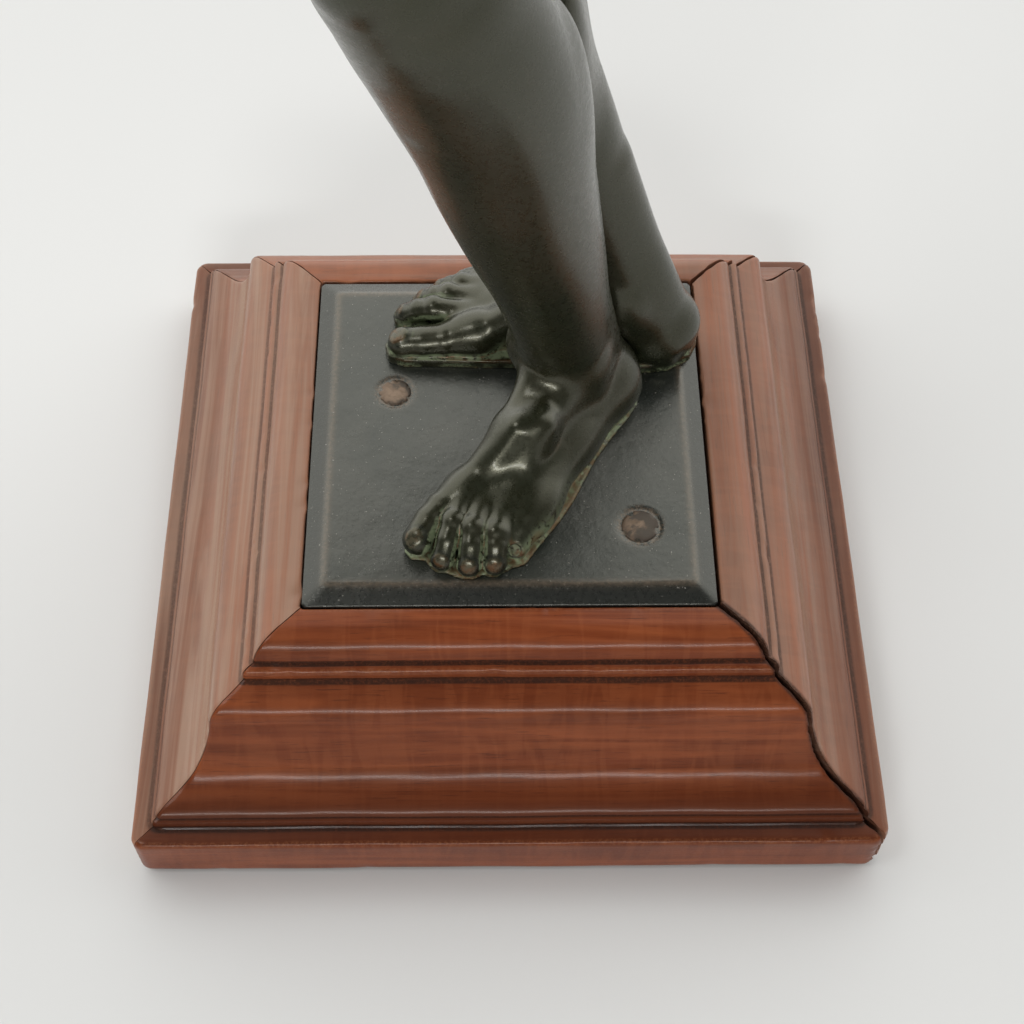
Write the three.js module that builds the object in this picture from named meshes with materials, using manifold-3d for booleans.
// A bronze figure in a short tunic, standing on a square bronze plate that is let into
// a moulded hardwood plinth. Millimetres, +Z up, origin at the middle of the underside.
// X runs along the plinth's front, and the front moulding faces -Y.
import * as THREE from 'three';
import { mergeVertices } from 'three/addons/utils/BufferGeometryUtils.js';
import Module from 'manifold-3d';

const wasm = await Module();
wasm.setup();

// ---------------------------------------------------------------- driving dimensions
const PLINTH_SIDE = 150;          // outside width of the bottom band
const GAP = 0.3;                  // clearance left between touching pieces
const BAIZE_THICKNESS = 0.7;
const BAND_TOP = 14;              // top of the square band
const FRAME_INNER = 40.3;         // half width of the opening that the plate sits in
const FRAME_TOP = 47.4;           // flat top of the mouldings round the plate
const PLATE_HALF = 39.8;
const PLATE_TOP = 49.2;
const PLATE_THICKNESS = 4.6;
const PLATE_CHAMFER_WIDTH = 4.1;
const PLATE_CHAMFER_HEIGHT = 1.5;
const BOARD_HALF = 62;
const BOARD_TOP = 7;
const CAVITY_HALF = 50;           // inside face of the mouldings, below the frame
const CAVITY_TOP = 30;
const CORE_HALF = 39.9;
const HEM_CEILING = 211.5;        // where the legs meet the torso, inside the hem
const NECKLINE = 398;             // where the head casting meets the torso

const half = PLINTH_SIDE / 2;
const mouldingBottom = BAIZE_THICKNESS + GAP;
const boardBottom = mouldingBottom;
const coreBottom = BOARD_TOP + GAP;
const plateBottom = PLATE_TOP - PLATE_THICKNESS;
const coreTop = plateBottom - GAP;
const footBottom = PLATE_TOP + GAP;

// ---------------------------------------------------------------- materials
function material(color, roughness, metalness) {
  return new THREE.MeshStandardMaterial({ color, roughness, metalness });
}
const mahogany = () => material(0x6e3b28, 0.3, 0);
const plainWood = () => material(0x9a7650, 0.8, 0);
const bronze = () => material(0x2b2d22, 0.35, 1);
const plateBronze = () => material(0x3f4746, 0.45, 1);
const steel = () => material(0x8c8c88, 0.4, 1);
const baize = () => material(0x1f4a34, 1, 0);

// ---------------------------------------------------------------- solids
function toSolid(geometry) {
  const plain = geometry.index ? geometry.toNonIndexed() : geometry.clone();
  plain.deleteAttribute('normal');
  plain.deleteAttribute('uv');
  const merged = mergeVertices(plain, 1e-4);
  return new wasm.Manifold(new wasm.Mesh({
    numProp: 3,
    vertProperties: new Float32Array(merged.attributes.position.array),
    triVerts: new Uint32Array(merged.index.array),
  }));
}

function toGeometry(solid) {
  const mesh = solid.getMesh();
  const geometry = new THREE.BufferGeometry();
  geometry.setAttribute('position', new THREE.BufferAttribute(mesh.vertProperties, 3));
  geometry.setIndex(new THREE.BufferAttribute(mesh.triVerts, 1));
  geometry.computeVertexNormals();
  return geometry;
}

function join(...geometries) {
  return geometries.map(toSolid).reduce((sum, solid) => sum.add(solid));
}

// An upright cylinder from z0 to z1.
function post(x, y, z0, z1, radius, sides = 20) {
  const geometry = new THREE.CylinderGeometry(radius, radius, z1 - z0, sides);
  geometry.rotateX(Math.PI / 2);
  geometry.translate(x, y, (z0 + z1) / 2);
  return geometry;
}

function slab(halfWidth, z0, z1, x = 0, y = 0) {
  const geometry = new THREE.BoxGeometry(2 * halfWidth, 2 * halfWidth, z1 - z0);
  geometry.translate(x, y, (z0 + z1) / 2);
  return geometry;
}

// A ring with a square-cut section, such as a washer.
function ring(x, y, z0, z1, innerRadius, outerRadius) {
  const outline = [[innerRadius, z0], [outerRadius, z0], [outerRadius, z1], [innerRadius, z1], [innerRadius, z0]]
    .map(([r, z]) => new THREE.Vector2(r, z));
  const geometry = new THREE.LatheGeometry(outline, 20);
  geometry.rotateX(Math.PI / 2);
  geometry.translate(x, y, 0);
  return geometry;
}

// A hexagon nut: a six-sided prism with a round hole.
function hexNut(x, y, z0, z1, holeRadius, acrossCorners) {
  const shape = new THREE.Shape();
  for (let corner = 0; corner < 6; corner++) {
    const angle = corner * Math.PI / 3;
    const place = [Math.cos(angle) * acrossCorners / 2, Math.sin(angle) * acrossCorners / 2];
    if (corner === 0) shape.moveTo(...place);
    else shape.lineTo(...place);
  }
  shape.closePath();
  shape.holes.push(new THREE.Path().absarc(0, 0, holeRadius, 0, 2 * Math.PI, true));
  const geometry = new THREE.ExtrudeGeometry(shape, { depth: z1 - z0, bevelEnabled: false, curveSegments: 12 });
  geometry.translate(x, y, z0);
  return geometry;
}

// A round limb through a list of stations { at, a, b }: a is the half width along `side`,
// b the half depth across it. The first station is one end cap and the last the other.
// Sections stand square to the limb, or flat where `level` is set.
function limb(stations, side, sides = 16, level = false) {
  const rows = stations.length - 1;
  const geometry = new THREE.CylinderGeometry(1, 1, 1, sides, rows);
  const position = geometry.attributes.position;
  const centres = stations.map((s) => new THREE.Vector3(...s.at));
  const frames = stations.map((s, i) => {
    const before = centres[Math.max(i - 1, 0)];
    const after = centres[Math.min(i + 1, rows)];
    const along = before.clone().sub(after);
    if (level) along.set(0, 0, along.z);
    along.normalize();
    const across = new THREE.Vector3(...side);
    across.addScaledVector(along, -across.dot(along)).normalize();
    return { across, deep: across.clone().cross(along) };
  });
  for (let i = 0; i < position.count; i++) {
    const row = Math.round((0.5 - position.getY(i)) * rows);
    const point = centres[row].clone()
      .addScaledVector(frames[row].across, position.getX(i) * stations[row].a)
      .addScaledVector(frames[row].deep, position.getZ(i) * stations[row].b);
    position.setXYZ(i, point.x, point.y, point.z);
  }
  return geometry;
}

// A finger, toe or other small round-ended rod between two points.
function rod(start, end, startRadius, endRadius, sides = 8) {
  const from = new THREE.Vector3(...start);
  const to = new THREE.Vector3(...end);
  const along = to.clone().sub(from).normalize();
  const side = Math.abs(along.z) > 0.9 ? [1, 0, 0] : [0, 0, 1];
  const at = (point, distance) => point.clone().addScaledVector(along, distance).toArray();
  const dome = 0.7;
  return limb([
    { at: at(from, -startRadius), a: startRadius * 0.3, b: startRadius * 0.3 },
    { at: at(from, -startRadius * dome), a: startRadius * dome, b: startRadius * dome },
    { at: at(from, 0), a: startRadius, b: startRadius },
    { at: at(to, 0), a: endRadius, b: endRadius },
    { at: at(to, endRadius * dome), a: endRadius * dome, b: endRadius * dome },
    { at: at(to, endRadius), a: endRadius * 0.3, b: endRadius * 0.3 },
  ], side, sides);
}

function ball(at, radii, turnZ = 0, sides = 16) {
  const geometry = new THREE.SphereGeometry(1, sides, sides / 2);
  geometry.rotateX(Math.PI / 2);
  geometry.scale(...radii);
  geometry.rotateZ(turnZ);
  geometry.translate(...at);
  return geometry;
}

const group = new THREE.Group();
function add(name, shape, look) {
  const geometry = shape.isBufferGeometry ? toGeometry(toSolid(shape)) : toGeometry(shape);
  const mesh = new THREE.Mesh(geometry, look);
  mesh.name = name;
  group.add(mesh);
  return mesh;
}

// ---------------------------------------------------------------- plinth mouldings
// Half section of the moulding: x is the distance from the plinth's middle, y the height.
const mouldingSection = new THREE.Shape();
mouldingSection.moveTo(BOARD_HALF + 0.4, mouldingBottom);
mouldingSection.lineTo(half - 0.6, mouldingBottom);
mouldingSection.lineTo(half, mouldingBottom + 0.8);
mouldingSection.lineTo(half, BAND_TOP - 0.8);
mouldingSection.lineTo(half - 0.8, BAND_TOP);
mouldingSection.lineTo(half - 3.9, BAND_TOP);
mouldingSection.lineTo(half - 4.1, 16.4);
mouldingSection.quadraticCurveTo(half - 8, 18.2, half - 11.3, 19.3);
mouldingSection.bezierCurveTo(half - 13.4, 22.5, half - 15.6, 27.5, half - 16.8, 35.8);
mouldingSection.quadraticCurveTo(half - 18.4, 38, half - 23.2, 38.6);
mouldingSection.lineTo(half - 23.6, 39.4);
mouldingSection.quadraticCurveTo(half - 23.4, 41.8, half - 25, 42.3);
mouldingSection.quadraticCurveTo(half - 26, 46.6, half - 30.4, FRAME_TOP - 0.3);
mouldingSection.lineTo(FRAME_INNER, FRAME_TOP);
mouldingSection.lineTo(FRAME_INNER, CAVITY_TOP + 7);
mouldingSection.lineTo(CAVITY_HALF - 4, CAVITY_TOP + 7);
mouldingSection.lineTo(CAVITY_HALF, CAVITY_TOP);
mouldingSection.lineTo(CAVITY_HALF, coreBottom);
mouldingSection.lineTo(BOARD_HALF + 0.4, coreBottom);
mouldingSection.closePath();

// One mitred length, for the -Y side: every line of the section is as long as its own
// distance from the middle, which cuts both mitres at 45 degrees.
function mouldingLength(mitreGap) {
  const geometry = new THREE.ExtrudeGeometry(mouldingSection, { depth: 1, bevelEnabled: false, curveSegments: 5 });
  const position = geometry.attributes.position;
  for (let i = 0; i < position.count; i++) {
    const out = position.getX(i);
    const end = position.getZ(i) < 0.5 ? 1 : -1;
    position.setXYZ(i, end * (out - mitreGap), -out, position.getY(i));
  }
  return geometry;
}
['front', 'right', 'back', 'left'].forEach((side, turn) => {
  const geometry = mouldingLength(GAP);
  geometry.rotateZ(turn * Math.PI / 2);
  add(`plinth_moulding_${side}`, geometry, mahogany());
});

// ---------------------------------------------------------------- plate fixings
const plateBolts = [
  { x: -23.3, y: 9.3, headRadius: 3.35 },
  { x: 25.4, y: -23.3, headRadius: 3.75 },
];
const footStuds = [
  { side: 'left', x: 11.5, y: 5.5 },
  { side: 'right', x: 24.5, y: 22.5 },
];
const SHANK_RADIUS = 2;
const HOLE_RADIUS = SHANK_RADIUS + 0.4;
const HEAD_DEPTH = 1.8;
const COUNTERBORE_RADIUS = 6.5;
const COUNTERBORE_TOP = 17;
const POCKET_RADIUS = 6.5;
const POCKET_DEPTH = 10;
const WASHER_THICKNESS = 1;
const NUT_HEIGHT = 3.2;
const NUT_ACROSS_CORNERS = 8;
const STUD_IN_FOOT = 10;

const boltHeadSeat = PLATE_TOP - HEAD_DEPTH;
let core = toSolid(slab(CORE_HALF, coreBottom, coreTop));
// A square lathe, four sided, gives the plate its sloping edges.
const plateOutline = [
  [0, plateBottom], [PLATE_HALF, plateBottom], [PLATE_HALF, PLATE_TOP - PLATE_CHAMFER_HEIGHT],
  [PLATE_HALF - PLATE_CHAMFER_WIDTH, PLATE_TOP], [0, PLATE_TOP],
].map(([r, z]) => new THREE.Vector2(r * Math.SQRT2, z));
const plateBlank = new THREE.LatheGeometry(plateOutline, 4);
plateBlank.rotateX(Math.PI / 2);
plateBlank.rotateZ(Math.PI / 4);
let plate = toSolid(plateBlank);

plateBolts.forEach(({ x, y, headRadius }, i) => {
  const tip = COUNTERBORE_TOP - WASHER_THICKNESS - NUT_HEIGHT - 2.5;
  plate = plate
    .subtract(toSolid(post(x, y, boltHeadSeat, PLATE_TOP + 1, headRadius + GAP)))
    .subtract(toSolid(post(x, y, plateBottom - 1, PLATE_TOP, HOLE_RADIUS)));
  core = core
    .subtract(toSolid(post(x, y, coreBottom - 1, coreTop + 1, HOLE_RADIUS)))
    .subtract(toSolid(post(x, y, coreBottom - 1, COUNTERBORE_TOP, COUNTERBORE_RADIUS)));
  add(`plate_bolt_${i + 1}`, join(
    post(x, y, boltHeadSeat + GAP, PLATE_TOP + 0.1, headRadius),
    post(x, y, tip, boltHeadSeat + 1, SHANK_RADIUS),
  ), plateBronze());
  const washerTop = COUNTERBORE_TOP - GAP;
  const nutTop = washerTop - WASHER_THICKNESS - GAP;
  add(`plate_bolt_washer_${i + 1}`, ring(x, y, washerTop - WASHER_THICKNESS, washerTop, HOLE_RADIUS, 5), steel());
  add(`plate_bolt_nut_${i + 1}`, hexNut(x, y, nutTop - NUT_HEIGHT, nutTop, HOLE_RADIUS, NUT_ACROSS_CORNERS), steel());
});

footStuds.forEach(({ side, x, y }) => {
  plate = plate.subtract(toSolid(post(x, y, plateBottom - 1, PLATE_TOP + 1, HOLE_RADIUS)));
  core = core.subtract(toSolid(post(x, y, coreTop - POCKET_DEPTH, coreTop + 1, POCKET_RADIUS)));
  const washerTop = plateBottom - GAP;
  const nutTop = washerTop - WASHER_THICKNESS - GAP;
  add(`${side}_foot_stud`, post(x, y, coreTop - POCKET_DEPTH + 2, footBottom + STUD_IN_FOOT, SHANK_RADIUS), steel());
  add(`${side}_foot_stud_washer`, ring(x, y, washerTop - WASHER_THICKNESS, washerTop, HOLE_RADIUS, 5), steel());
  add(`${side}_foot_stud_nut`, hexNut(x, y, nutTop - NUT_HEIGHT, nutTop, HOLE_RADIUS, NUT_ACROSS_CORNERS), steel());
});
add('bronze_plate', plate, plateBronze());

// ---------------------------------------------------------------- inside and under the plinth
const BLOCK_LEG = 9;
const corners = [[1, 1], [-1, 1], [-1, -1], [1, -1]];
corners.forEach((unused, i) => {
  const outer = CAVITY_HALF - GAP;
  const shape = new THREE.Shape();
  shape.moveTo(outer, outer);
  shape.lineTo(outer - BLOCK_LEG, outer);
  shape.lineTo(outer, outer - BLOCK_LEG);
  shape.closePath();
  const geometry = new THREE.ExtrudeGeometry(shape, { depth: CAVITY_TOP - 2 - coreBottom, bevelEnabled: false });
  geometry.translate(0, 0, coreBottom);
  geometry.rotateZ(i * Math.PI / 2);
  add(`corner_glue_block_${i + 1}`, geometry, plainWood());
});

const SCREW_PLACE = 33;
const SCREW_LENGTH = 16;
const SCREW_RADIUS = 1.6;
const SCREW_HEAD_RADIUS = 3.4;
const SCREW_HEAD_HEIGHT = 2.4;
let board = toSolid(slab(BOARD_HALF, boardBottom, BOARD_TOP));
corners.forEach(([sx, sy], i) => {
  const x = sx * SCREW_PLACE;
  const y = sy * SCREW_PLACE;
  const outline = [
    [0, 0], [SCREW_HEAD_RADIUS, 0], [SCREW_HEAD_RADIUS, 0.4], [SCREW_RADIUS, SCREW_HEAD_HEIGHT],
    [SCREW_RADIUS, SCREW_LENGTH - 3], [0, SCREW_LENGTH],
  ].map(([r, z]) => new THREE.Vector2(r, z));
  const screw = new THREE.LatheGeometry(outline, 12);
  screw.rotateX(Math.PI / 2);
  screw.translate(x, y, boardBottom + 0.3);
  const sink = new THREE.CylinderGeometry(SCREW_RADIUS + 0.5, SCREW_HEAD_RADIUS + 0.9, SCREW_HEAD_HEIGHT + 2, 12);
  sink.rotateX(Math.PI / 2);
  sink.translate(x, y, boardBottom + (SCREW_HEAD_HEIGHT + 2) / 2 - 0.5);
  board = board
    .subtract(toSolid(sink))
    .subtract(toSolid(post(x, y, boardBottom - 1, BOARD_TOP + 1, SCREW_RADIUS + 0.4, 12)));
  core = core.subtract(toSolid(post(x, y, coreBottom - 1, boardBottom + SCREW_LENGTH + 1, SCREW_RADIUS + 0.4, 12)));
  add(`bottom_board_screw_${i + 1}`, screw, steel());
});
add('bottom_board', board, plainWood());
add('plinth_core_block', core, plainWood());
add('baize_pad', slab(half - 3, 0, BAIZE_THICKNESS), baize());

// ---------------------------------------------------------------- the legs
// Each leg: ankle, knee and hip in space, the way its foot points and its outer side.
// A foot is drawn in its own frame, u from the back of the heel forwards, v outwards.
const legs = {
  left: {
    ankle: [10.3, 6.8, 66], knee: [-12.4, -11, 168], hip: [10.6, -8.7, 269],
    forward: [-0.5, -0.866], outward: [0.866, -0.5], heel: [20.7, 16.9],
    sole: [[1.5, 3, 5], [8, 3, 7.6], [20, 1.5, 8.6], [34, 0, 9.6], [46, -1, 10.2]],
    toes: [
      { from: [45, -8.5, 4.4], to: [57, -10, 3.6] }, { from: [47, -5, 2.8], to: [58.5, -3.6, 2.4] },
      { from: [47, 0, 2.7], to: [57.5, 1.2, 2.4] }, { from: [45, 4.5, 2.6], to: [54.5, 5.4, 2.3] },
      { from: [42, 8, 2.6], to: [50, 8, 2.3] },
    ],
  },
  right: {
    ankle: [23.5, 22, 66], knee: [-18, 24.5, 166], hip: [-8.6, 28.7, 270],
    forward: [-0.995, 0.1], outward: [0.1, 0.995], heel: [39.5, 21.8],
    sole: [[1.5, 0, 5], [8, 0, 7.4], [20, 1, 7.6], [34, 1.6, 9], [46, 1.6, 10.2]],
    toes: [
      { from: [46, -5.2, 4.4], to: [62, -7.2, 3.6] }, { from: [48, 0.5, 2.8], to: [62, 1.4, 2.4] },
      { from: [48, 4, 2.7], to: [58.5, 5.2, 2.4] }, { from: [46, 7.5, 2.6], to: [54.5, 8.4, 2.3] },
      { from: [43, 10, 2.6], to: [50, 10.6, 2.3] },
    ],
  },
};
// Half width and half depth of the leg, and how far the flesh lies behind the bone, at
// fractions of the shank from the ankle (0) to the knee (1) and of the thigh beyond (1 to 2).
const legSections = [
  [-0.1, 7.6, 9.2, 1.5], [0, 8.6, 9.6, 1.2], [0.12, 8.3, 9.4, 1], [0.25, 9, 10.4, 1.8], [0.45, 12.2, 12.8, 3.2],
  [0.65, 14.4, 14.6, 4], [0.78, 14.6, 14.8, 3.2], [0.9, 13.6, 14.2, 1], [1, 13.2, 14.4, -0.8],
  [1.1, 13.2, 14.4, -0.6], [1.25, 14, 15.2, 0], [1.42, 15.4, 16.8, 0], [1.6, 16.4, 18, 0],
];
const instepHeights = [10, 15, 16, 13.5, 9.5];

function legPoint(leg, fraction, behind) {
  const from = fraction < 1 ? leg.ankle : leg.knee;
  const to = fraction < 1 ? leg.knee : leg.hip;
  const t = fraction < 1 ? fraction : fraction - 1;
  const point = from.map((value, i) => value + (to[i] - value) * t);
  return [point[0] - leg.forward[0] * behind, point[1] - leg.forward[1] * behind, point[2]];
}

function footPoint(leg, u, v, height) {
  return [
    leg.heel[0] + leg.forward[0] * u + leg.outward[0] * v,
    leg.heel[1] + leg.forward[1] * u + leg.outward[1] * v,
    PLATE_TOP + height,
  ];
}

// The whole leg and foot; `grow` makes it that much fatter all round.
function legSolid(leg, grow = 0) {
  const side = [...leg.outward, 0];
  const shank = limb(legSections.map(([fraction, a, b, behind]) => (
    { at: legPoint(leg, fraction, behind), a: a + grow, b: b + grow })), side, 18);
  const foot = limb([
    { at: footPoint(leg, -grow, leg.sole[0][1], 4), a: 2 + grow, b: 2.5 + grow },
    ...leg.sole.map(([u, v, halfWidth], i) => ({
      at: footPoint(leg, u, v, instepHeights[i] * 0.32), a: halfWidth + grow, b: instepHeights[i] * 0.68 + grow,
    })),
    { at: footPoint(leg, 51, leg.sole[4][1] + 0.5, 2.6), a: 8.4 + grow, b: 3.4 + grow },
  ], side, 14);
  const instepFrom = footPoint(leg, 14, leg.sole[2][1] - 3, 13);
  const instepTo = footPoint(leg, 42, leg.sole[4][1] - 3, 5);
  const instep = rod(instepFrom, instepTo, 8 + grow, 5 + grow, 12);
  const toes = leg.toes.map(({ from, to }) => rod(
    footPoint(leg, from[0], from[1], from[2] * 0.9), footPoint(leg, to[0], to[1], to[2] * 0.85), from[2], to[2]));
  const below = slab(100, footBottom - 50, footBottom);
  const above = slab(100, HEM_CEILING - GAP, HEM_CEILING + 200);
  return join(shank, foot, instep, ...toes).subtract(toSolid(below)).subtract(toSolid(above));
}

const PIN_RADIUS = 2.5;
const PIN_HOLE_RADIUS = PIN_RADIUS + 0.4;
const HIP_PIN_HALF = 12;
const hipPins = Object.fromEntries(Object.entries(legs).map(([side, leg]) => {
  const t = (HEM_CEILING - leg.knee[2]) / (leg.hip[2] - leg.knee[2]);
  return [side, legPoint(leg, 1 + t, 0)];
}));
const legSolids = Object.fromEntries(Object.entries(legs).map(([side, leg]) => {
  const stud = footStuds.find((item) => item.side === side);
  const pin = hipPins[side];
  const solid = legSolid(leg)
    .subtract(toSolid(post(stud.x, stud.y, footBottom - 5, footBottom + STUD_IN_FOOT + 1, HOLE_RADIUS)))
    .subtract(toSolid(post(pin[0], pin[1], pin[2] - HIP_PIN_HALF - 1, pin[2] + 5, PIN_HOLE_RADIUS)));
  return [side, solid];
}));
// The heels touch: the left one is dressed back to clear the right foot.
add('left_leg_casting', legSolids.left.subtract(legSolid(legs.right, GAP)), bronze());
add('right_leg_casting', legSolids.right, bronze());
for (const side of ['left', 'right']) {
  const [x, y, z] = hipPins[side];
  add(`${side}_hip_pin`, post(x, y, z - HIP_PIN_HALF, z + HIP_PIN_HALF, PIN_RADIUS), steel());
}

// ---------------------------------------------------------------- the torso and tunic
// The body faces `front`; `left` is the figure's own left.
const front = [-0.89, -0.456, 0];
const left = [0.456, -0.89, 0];
const bodyPoint = (sideways, forwards, z) => [
  BODY_AXIS[0] + left[0] * sideways + front[0] * forwards,
  BODY_AXIS[1] + left[1] * sideways + front[1] * forwards,
  z,
];
const BODY_AXIS = [1, 10];
const SHOULDER = 388;
// Height, forward offset, half width and half depth, from the hem to the neckline.
const torsoSections = [
  [208, 6, 42, 34], [222, 5, 40.6, 32.6], [250, 2, 38, 28.5], [268, 0, 36, 25], [290, 1, 30, 21.5], [306, 2, 26.5, 19],
  [325, 2, 28.5, 20.5], [345, 2.5, 32, 22.5], [365, 1.5, 34, 21.5], [380, 0, 34, 18], [390, -0.5, 27, 14.5],
  [NECKLINE - GAP, 0, 13.5, 12.5],
];
const torsoBlank = limb(torsoSections.map(([z, forwards, a, b]) => (
  { at: bodyPoint(0, forwards, z), a, b })), left, 24, true);
const hemHollow = limb([
  { at: bodyPoint(0, 6.6, 200), a: 40.2, b: 32.2 },
  { at: bodyPoint(0, 5.6, HEM_CEILING), a: 38.8, b: 30.9 },
], left, 24, true);
const belt = limb([
  { at: bodyPoint(0, 2, 303), a: 27.6, b: 20 },
  { at: bodyPoint(0, 2, 304), a: 28.6, b: 21 },
  { at: bodyPoint(0, 2, 308), a: 28.6, b: 21 },
  { at: bodyPoint(0, 2, 309), a: 27.6, b: 20 },
], left, 24);

// ---------------------------------------------------------------- the arms
// Shoulder, elbow and wrist, and where the palm and its fingers go from there.
const arms = {
  left: {
    shoulder: bodyPoint(37, -1, SHOULDER - 9), elbow: bodyPoint(50, -8, 320), wrist: bodyPoint(60, 20, 272),
    fingers: bodyPoint(65, 31, 250), spread: front, thumb: bodyPoint(58, 38, 262),
  },
  right: {
    shoulder: bodyPoint(-37, -1, SHOULDER - 9), elbow: bodyPoint(-49, -2, 319), wrist: bodyPoint(-44, 44, 322),
    fingers: bodyPoint(-38, 66, 327), spread: left, thumb: bodyPoint(-30, 60, 334),
  },
};
const SLEEVE = 36.2;              // the tunic's armhole, measured sideways from the middle

function between(from, to, t) {
  return from.map((value, i) => value + (to[i] - value) * t);
}

function armSolid(arm) {
  const upper = limb([
    { at: between(arm.shoulder, arm.elbow, -0.17), a: 5, b: 5 },
    { at: between(arm.shoulder, arm.elbow, -0.1), a: 9.5, b: 9.5 },
    { at: between(arm.shoulder, arm.elbow, 0.08), a: 12, b: 12 },
    { at: between(arm.shoulder, arm.elbow, 0.35), a: 10.6, b: 11.2 },
    { at: between(arm.shoulder, arm.elbow, 0.65), a: 9.4, b: 10 },
    { at: between(arm.shoulder, arm.elbow, 1), a: 8.2, b: 8.4 },
    { at: between(arm.shoulder, arm.elbow, 1.08), a: 5, b: 5 },
  ], front, 14);
  const lower = limb([
    { at: between(arm.elbow, arm.wrist, -0.06), a: 6.5, b: 6.5 },
    { at: between(arm.elbow, arm.wrist, 0.2), a: 8.8, b: 8.8 },
    { at: between(arm.elbow, arm.wrist, 0.45), a: 8, b: 8 },
    { at: between(arm.elbow, arm.wrist, 0.8), a: 5.8, b: 5.8 },
    { at: between(arm.elbow, arm.wrist, 1.03), a: 4.8, b: 5.4 },
  ], front, 14);
  const knuckles = between(arm.wrist, arm.fingers, 0.75);
  const palm = limb([
    { at: between(arm.wrist, arm.fingers, -0.1), a: 4.8, b: 4.4 },
    { at: between(arm.wrist, arm.fingers, 0.3), a: 8, b: 3.8 },
    { at: knuckles, a: 8.6, b: 3.2 },
    { at: between(arm.wrist, arm.fingers, 0.88), a: 7, b: 2.2 },
  ], arm.spread, 12);
  const fingers = [-1.5, -0.5, 0.5, 1.5].map((place) => {
    const offset = arm.spread.map((value) => value * place * 4.1);
    const root = knuckles.map((value, i) => value + offset[i]);
    const reach = 1.5 - Math.abs(place) * 0.1;
    const tip = between(arm.wrist, arm.fingers, reach).map((value, i) => value + offset[i] * 1.05);
    return rod(root, tip, 2.1, 1.6, 8);
  });
  const thumb = rod(between(arm.wrist, arm.fingers, 0.25), arm.thumb, 2.8, 1.9, 8);
  return join(upper, lower, palm, thumb, ...fingers);
}

// Everything sideways of the armhole belongs to the arm, the rest to the torso.
function sleeveCut(sign, from, to) {
  const geometry = new THREE.BoxGeometry(to - from, 80, 66);
  geometry.translate(sign * (from + to) / 2, 0, 0);
  geometry.rotateZ(Math.atan2(left[1], left[0]));
  geometry.translate(...bodyPoint(0, 0, SHOULDER - 9));
  return toSolid(geometry);
}
const SHOULDER_PIN_HALF = 10;
function shoulderPin(sign, radius, halfLength) {
  const geometry = new THREE.CylinderGeometry(radius, radius, 2 * halfLength, 16);
  geometry.rotateZ(Math.PI / 2);
  geometry.rotateZ(Math.atan2(left[1], left[0]));
  geometry.translate(...bodyPoint(sign * SLEEVE, -1, SHOULDER - 9));
  return geometry;
}

let torso = join(torsoBlank, belt).subtract(toSolid(hemHollow));
for (const [side, sign] of [['left', 1], ['right', -1]]) {
  const hole = toSolid(shoulderPin(sign, PIN_HOLE_RADIUS, SHOULDER_PIN_HALF + 0.6));
  const shoulderCap = toSolid(ball(bodyPoint(sign * 30, -1, SHOULDER - 9), [13, 13, 12.5], Math.atan2(left[1], left[0])));
  torso = torso.add(shoulderCap).subtract(sleeveCut(sign, SLEEVE, SLEEVE + 60)).subtract(hole);
  const arm = armSolid(arms[side]).subtract(sleeveCut(sign, -20, SLEEVE + GAP)).subtract(hole);
  add(`${side}_arm_casting`, arm, bronze());
  add(`${side}_shoulder_pin`, shoulderPin(sign, PIN_RADIUS, SHOULDER_PIN_HALF), steel());
  const [x, y, z] = hipPins[side];
  torso = torso.subtract(toSolid(post(x, y, z - 5, z + HIP_PIN_HALF + 1, PIN_HOLE_RADIUS)));
}
const NECK_PIN_HALF = 10;
const neckAt = bodyPoint(0, 1, NECKLINE);
const neckHole = toSolid(post(neckAt[0], neckAt[1], NECKLINE - NECK_PIN_HALF - 1, NECKLINE + NECK_PIN_HALF + 1, PIN_HOLE_RADIUS));
add('torso_casting', torso.subtract(neckHole), bronze());
add('neck_pin', post(neckAt[0], neckAt[1], NECKLINE - NECK_PIN_HALF, NECKLINE + NECK_PIN_HALF, PIN_RADIUS), steel());

// ---------------------------------------------------------------- the head
const HEAD_CENTRE = 444;
const CROWN = 470;
const turn = Math.atan2(front[1], front[0]);
const skull = ball(bodyPoint(0, 0, HEAD_CENTRE + 3), [22, 18, CROWN - HEAD_CENTRE - 3], turn, 20);
const face = limb([
  { at: bodyPoint(0, 14, 416), a: 4, b: 4 },
  { at: bodyPoint(0, 13, 419), a: 8, b: 8 },
  { at: bodyPoint(0, 10, 428), a: 13, b: 13 },
  { at: bodyPoint(0, 7, 440), a: 16, b: 15.5 },
  { at: bodyPoint(0, 5, 454), a: 15, b: 15 },
], left, 20);
const neck = limb([
  { at: bodyPoint(0, 0, NECKLINE), a: 12.4, b: 12 },
  { at: bodyPoint(0, 1, 408), a: 10.5, b: 10.5 },
  { at: bodyPoint(0, 1, 428), a: 10.5, b: 11 },
], left, 20, true);
const nose = rod(bodyPoint(0, 21.5, 446), bodyPoint(0, 24, 437), 1.6, 2.2, 8);
const bun = ball(bodyPoint(0, -23, 440), [9, 10, 9], turn, 12);
const ears = [1, -1].map((sign) => ball(bodyPoint(sign * 17.5, 0, 440), [4, 2, 5.5], turn, 8));
add('head_casting', join(skull, face, neck, nose, bun, ...ears).subtract(neckHole), bronze());

export default group;
